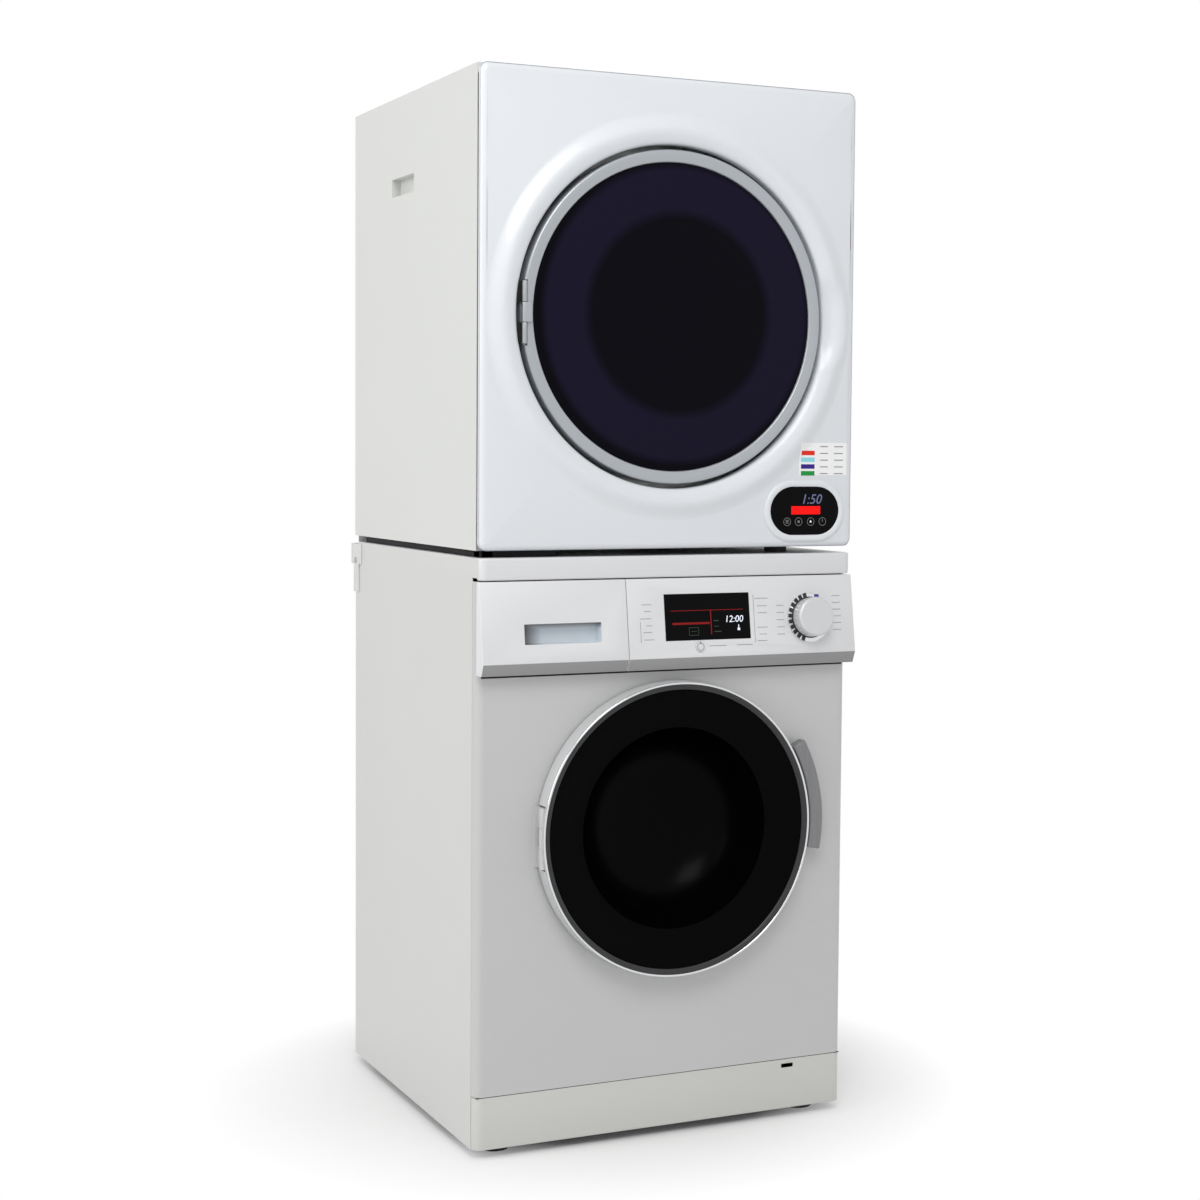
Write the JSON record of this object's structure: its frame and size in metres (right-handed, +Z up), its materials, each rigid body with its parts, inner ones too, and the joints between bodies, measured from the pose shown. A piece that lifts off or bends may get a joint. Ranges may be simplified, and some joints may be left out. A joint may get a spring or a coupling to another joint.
{
  "type": "washer dryer stack",
  "caption": "Front-loading washer with a front-loading tumble dryer stacked and strapped on top, both with round swing doors, drums and drives.",
  "frame": {"origin": "centre of the bounding box at floor level, under the washer's feet", "axes": "+Z up, doors and controls face -Y, +X to the right of someone facing the doors"},
  "size_m": [0.605, 0.637, 1.532],
  "materials": {
    "white_enamel": "smooth baked white enamel on sheet steel",
    "white_plastic": "moulded white plastic, satin",
    "galvanised": "bare zinc-coated sheet steel",
    "zinc_screw": "bright zinc",
    "foot_rubber": "black rubber",
    "display_black": "black glossy window",
    "chrome_trim": "bright chrome plating",
    "door_shell": "pale grey moulded plastic",
    "dark_trim": "dark grey bevelled rim with a bright edge",
    "black_glass": "black glossy cover",
    "bowl_glass": "dark clear glass",
    "handle_grey": "grey moulded plastic",
    "hardware": "plain steel",
    "lock_plastic": "black plastic",
    "gasket_rubber": "grey rubber",
    "belt_rubber": "black ribbed rubber",
    "tub_plastic": "grey glass-filled plastic",
    "weight_iron": "cast iron",
    "stainless": "stainless steel",
    "paddle_plastic": "pale grey plastic",
    "die_cast": "die-cast aluminium",
    "silver_ring": "silver painted plastic",
    "violet_glass": "dark violet glass",
    "liner_plastic": "dark plastic"
  },
  "bodies": {
    "housing": {"washer_feet": "foot_rubber", "washer_base_tray": "galvanised", "washer_cabinet": "white_enamel", "washer_rear_cover": "white_enamel", "washer_front_panel": "white_enamel", "washer_worktop": "white_plastic", "control_panel": "white_plastic", "display_window": "display_black", "knob_ring": "chrome_trim", "drawer_housing": "white_plastic", "washer_hinge_bracket": "hardware", "door_lock": "lock_plastic", "door_gasket": "gasket_rubber", "tub_springs": "hardware", "damper_cylinders": "lock_plastic", "sump_hose": "gasket_rubber", "drain_pump": "white_plastic", "inlet_valve": "white_plastic", "dryer_feet": "foot_rubber", "dryer_base_tray": "galvanised", "dryer_cabinet": "white_enamel", "dryer_rear_panel": "galvanised", "dryer_front_panel": "white_enamel", "touch_panel": "display_black", "dryer_front_bulkhead": "galvanised", "dryer_rear_bulkhead": "galvanised", "dryer_motor": "die_cast", "dryer_belt": "belt_rubber", "stack_brackets": "white_enamel", "bracket_screws": "zinc_screw"},
    "start_button": {"start_button": "chrome_trim"},
    "program_knob": {"program_knob": "white_plastic"},
    "drawer": {"drawer_front": "white_plastic", "detergent_drawer": "white_plastic"},
    "washer_door": {"washer_door_frame": "door_shell", "washer_door_trim": "dark_trim", "washer_door_glass": "black_glass", "washer_door_bowl": "bowl_glass"},
    "washer_handle": {"washer_door_handle": "handle_grey", "latch_hook": "hardware"},
    "tub": {"tub_front_half": "tub_plastic", "tub_rear_half": "tub_plastic", "counterweights": "weight_iron", "drum_bearings": "hardware", "washer_motor": "die_cast", "damper_rods": "hardware", "washer_belt": "belt_rubber"},
    "washer_drum": {"washer_drum": "stainless", "drum_paddles": "paddle_plastic", "drum_spider": "die_cast", "drum_pulley": "die_cast"},
    "washer_motor_rotor": {"motor_pulley": "die_cast"},
    "kick_plate": {"kick_plate": "white_enamel"},
    "pump_filter": {"pump_filter": "white_plastic"},
    "dryer_door": {"dryer_door_ring": "silver_ring", "dryer_door_window": "violet_glass", "dryer_door_liner": "liner_plastic"},
    "dryer_drum": {"dryer_drum": "stainless"},
    "dryer_motor_rotor": {"blower_wheel": "die_cast"},
    "lint_filter": {"lint_filter": "white_plastic"}
  },
  "joints": [
    {"name": "start_press", "type": "slide", "parent": "housing", "child": "start_button", "axis": [0, 0.9903, -0.139], "range_m": [0, 0.0015], "stiffness_N_per_m": 400, "springref_m": -0.003},
    {"name": "knob_turn", "type": "hinge", "parent": "housing", "child": "program_knob", "pos_m": [0.222, -0.28922, 0.756], "axis": [0, -0.9903, 0.139], "continuous": true},
    {"name": "drawer_slide", "type": "slide", "parent": "housing", "child": "drawer", "axis": [0, -1, 0], "range_m": [0, 0.18]},
    {"name": "washer_door_hinge", "type": "hinge", "parent": "housing", "child": "washer_door", "pos_m": [-0.202, -0.28752, 0.455], "axis": [0, 0, -1], "range_deg": [0, 135]},
    {"name": "handle_pull", "type": "hinge", "parent": "washer_door", "child": "washer_handle", "pos_m": [0.21904, -0.28752, 0.49065], "axis": [0.165, 0, -0.9863], "range_deg": [0, 12], "stiffness_Nm_per_rad": 1.5, "springref_deg": -11.46},
    {"name": "tub_float", "type": "slide", "parent": "housing", "child": "tub", "axis": [0, 0, 1], "range_m": [-0.008, 0.008], "stiffness_N_per_m": 15000, "springref_m": 0.02224, "deforming": ["tub_springs", "sump_hose", "door_gasket"]},
    {"name": "washer_drum_spin", "type": "hinge", "parent": "tub", "child": "washer_drum", "pos_m": [0.006, -0.02152, 0.455], "axis": [0, 1, 0], "continuous": true},
    {"name": "washer_motor_spin", "type": "hinge", "parent": "tub", "child": "washer_motor_rotor", "pos_m": [0.09, 0.08548, 0.125], "axis": [0, 1, 0], "continuous": true},
    {"name": "kick_plate_tilt", "type": "hinge", "parent": "housing", "child": "kick_plate", "pos_m": [0, -0.26952, 0.016], "axis": [1, 0, 0], "range_deg": [0, 60]},
    {"name": "pump_filter_turn", "type": "hinge", "parent": "housing", "child": "pump_filter", "pos_m": [0.17, -0.23952, 0.052], "axis": [0, -1, 0], "range_deg": [-90, 0]},
    {"name": "dryer_door_hinge", "type": "hinge", "parent": "housing", "child": "dryer_door", "pos_m": [-0.234, -0.28452, 1.192], "axis": [0, 0, -1], "range_deg": [0, 145]},
    {"name": "dryer_drum_spin", "type": "hinge", "parent": "housing", "child": "dryer_drum", "pos_m": [0, -0.01652, 1.192], "axis": [0, 1, 0], "continuous": true},
    {"name": "dryer_motor_spin", "type": "hinge", "parent": "housing", "child": "dryer_motor_rotor", "pos_m": [0.2, -0.07952, 0.935], "axis": [0, 1, 0], "continuous": true},
    {"name": "lint_filter_turn", "type": "hinge", "parent": "housing", "child": "lint_filter", "pos_m": [0, 0.18048, 1.192], "axis": [0, -1, 0], "range_deg": [-45, 0]}
  ],
  "couplings": [
    {"joint": "washer_motor_spin", "follows": "washer_drum_spin", "ratio": 12.727},
    {"joint": "dryer_motor_spin", "follows": "dryer_drum_spin", "ratio": 29.111}
  ]
}
